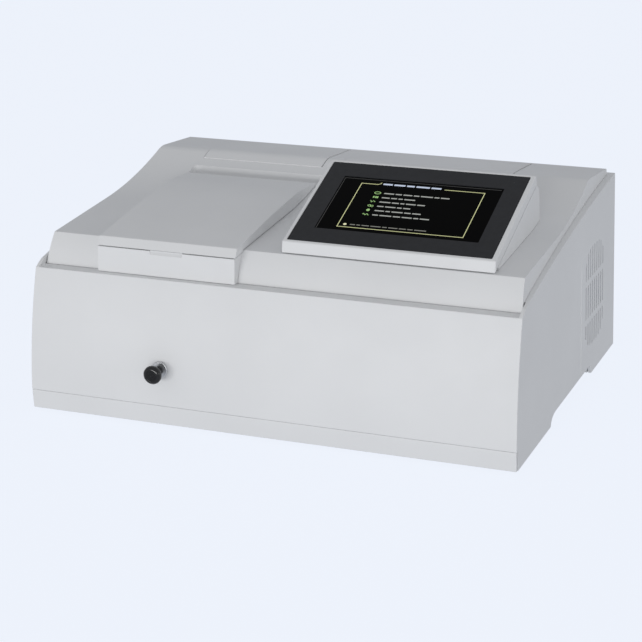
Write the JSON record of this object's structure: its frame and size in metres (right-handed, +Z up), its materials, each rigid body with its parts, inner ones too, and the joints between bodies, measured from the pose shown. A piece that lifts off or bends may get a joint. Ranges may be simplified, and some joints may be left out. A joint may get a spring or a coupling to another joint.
{
  "type": "spectrophotometer",
  "caption": "Bench-top visible-light spectrophotometer: hinged sample lid, pull-rod cuvette changer, tilted touch display, grating optics and lamp inside a moulded case.",
  "frame": {"origin": "centre of the overall outline at bench level, under the rubber feet", "axes": "+X to the operator's right, +Y to the back, +Z up; the pull knob points to -Y"},
  "size_m": [0.47, 0.363, 0.2177],
  "materials": {
    "case_plastic": "fine satin moulded texture",
    "black_plastic": "polished black",
    "dark_plastic": "fine matt",
    "rubber": "matt",
    "steel": "ground",
    "aluminium": "satin",
    "cast_metal": "grey painted casting",
    "black_anodised": "black anodised",
    "mirror_face": "polished",
    "brass": "machined",
    "clear_glass": "polished",
    "touch_glass": "polished, dark bezel print",
    "screen": "lit display",
    "board_green": "solder mask",
    "ceramic": "unglazed"
  },
  "bodies": {
    "root": {"base_tray": "case_plastic", "foot_front_left": "rubber", "foot_rear_left": "rubber", "foot_front_right": "rubber", "foot_rear_right": "rubber", "lower_housing": "case_plastic", "top_cover": "case_plastic", "compartment_fascia": "case_plastic", "lid_seal": "rubber", "lid_hinge_pin_left": "steel", "lid_hinge_pin_right": "steel", "display_bezel": "case_plastic", "display_glass": "touch_glass", "lcd_panel": "screen", "display_rear_shell": "case_plastic", "display_ribbon_cable": "dark_plastic", "sample_chamber": "black_anodised", "guide_rail_left": "steel", "guide_rail_right": "steel", "rod_bush": "aluminium", "optical_bench": "cast_metal", "detector_housing": "aluminium", "photodiode": "board_green", "monochromator_case": "cast_metal", "monochromator_lid": "aluminium", "exit_slit": "black_anodised", "entrance_slit": "black_anodised", "focusing_mirror": "mirror_face", "collimating_mirror": "mirror_face", "wavelength_motor": "black_anodised", "filter_motor": "aluminium", "lamp_house": "steel", "halogen_lamp": "clear_glass", "lamp_socket": "ceramic", "condenser_lens": "clear_glass", "main_board": "board_green", "power_supply": "aluminium", "fan_frame": "dark_plastic", "rear_panel": "case_plastic", "power_inlet": "dark_plastic", "power_switch_frame": "dark_plastic", "serial_port": "steel", "usb_port": "steel"},
    "lid": {"sample_lid": "case_plastic"},
    "cell_changer": {"pull_knob": "black_plastic", "pull_rod": "steel", "cell_carriage": "black_anodised", "cell_holder": "black_anodised"},
    "filter_wheel": {"filter_wheel": "black_anodised"},
    "drive_screw": {"drive_screw": "steel"},
    "drive_nut": {"drive_nut": "brass"},
    "grating": {"grating_table": "aluminium", "diffraction_grating": "mirror_face"},
    "fan_rotor": {"fan_rotor": "dark_plastic"},
    "power_rocker": {"power_rocker": "dark_plastic"},
    "lamp_hatch": {"lamp_hatch": "case_plastic"},
    "optics_hatch": {"optics_hatch": "case_plastic"}
  },
  "joints": [
    {"name": "lid_hinge", "type": "hinge", "parent": "root", "child": "lid", "pos_m": [-0.103, 0.059, 0.1768], "axis": [-1, 0, 0], "range_deg": [0, 80]},
    {"name": "cell_changer_slide", "type": "slide", "parent": "root", "child": "cell_changer", "axis": [0, -1, 0], "range_m": [0, 0.06]},
    {"name": "filter_wheel_spin", "type": "hinge", "parent": "root", "child": "filter_wheel", "pos_m": [-0.0515, 0.0985, 0.089], "axis": [1, 0, 0], "continuous": true},
    {"name": "drive_screw_spin", "type": "hinge", "parent": "root", "child": "drive_screw", "pos_m": [0.092, 0.0765, 0.039], "axis": [0, 1, 0], "range_deg": [-720.5, 720.5]},
    {"name": "drive_nut_travel", "type": "slide", "parent": "root", "child": "drive_nut", "axis": [0, 1, 0], "range_m": [-0.01, 0.01]},
    {"name": "grating_turn", "type": "hinge", "parent": "root", "child": "grating", "pos_m": [0.02, 0.0365, 0.039], "axis": [0, 0, 1], "range_deg": [-9.56, 9.56]},
    {"name": "fan_spin", "type": "hinge", "parent": "root", "child": "fan_rotor", "pos_m": [0.213, 0.1015, 0.082], "axis": [1, 0, 0], "continuous": true},
    {"name": "power_rocker_tilt", "type": "hinge", "parent": "root", "child": "power_rocker", "pos_m": [0.131, 0.1725, 0.047], "axis": [1, 0, 0], "range_deg": [0, 20]},
    {"name": "lamp_hatch_lift", "type": "slide", "parent": "root", "child": "lamp_hatch", "axis": [0, 0, 1], "range_m": [0, 0.04]},
    {"name": "optics_hatch_lift", "type": "slide", "parent": "root", "child": "optics_hatch", "axis": [0, 0, 1], "range_m": [0, 0.04]}
  ],
  "couplings": [
    {"joint": "drive_screw_spin", "follows": "drive_nut_travel", "rad_per_m": 1256.6},
    {"joint": "grating_turn", "follows": "drive_nut_travel", "rad_per_m": 16.667}
  ]
}
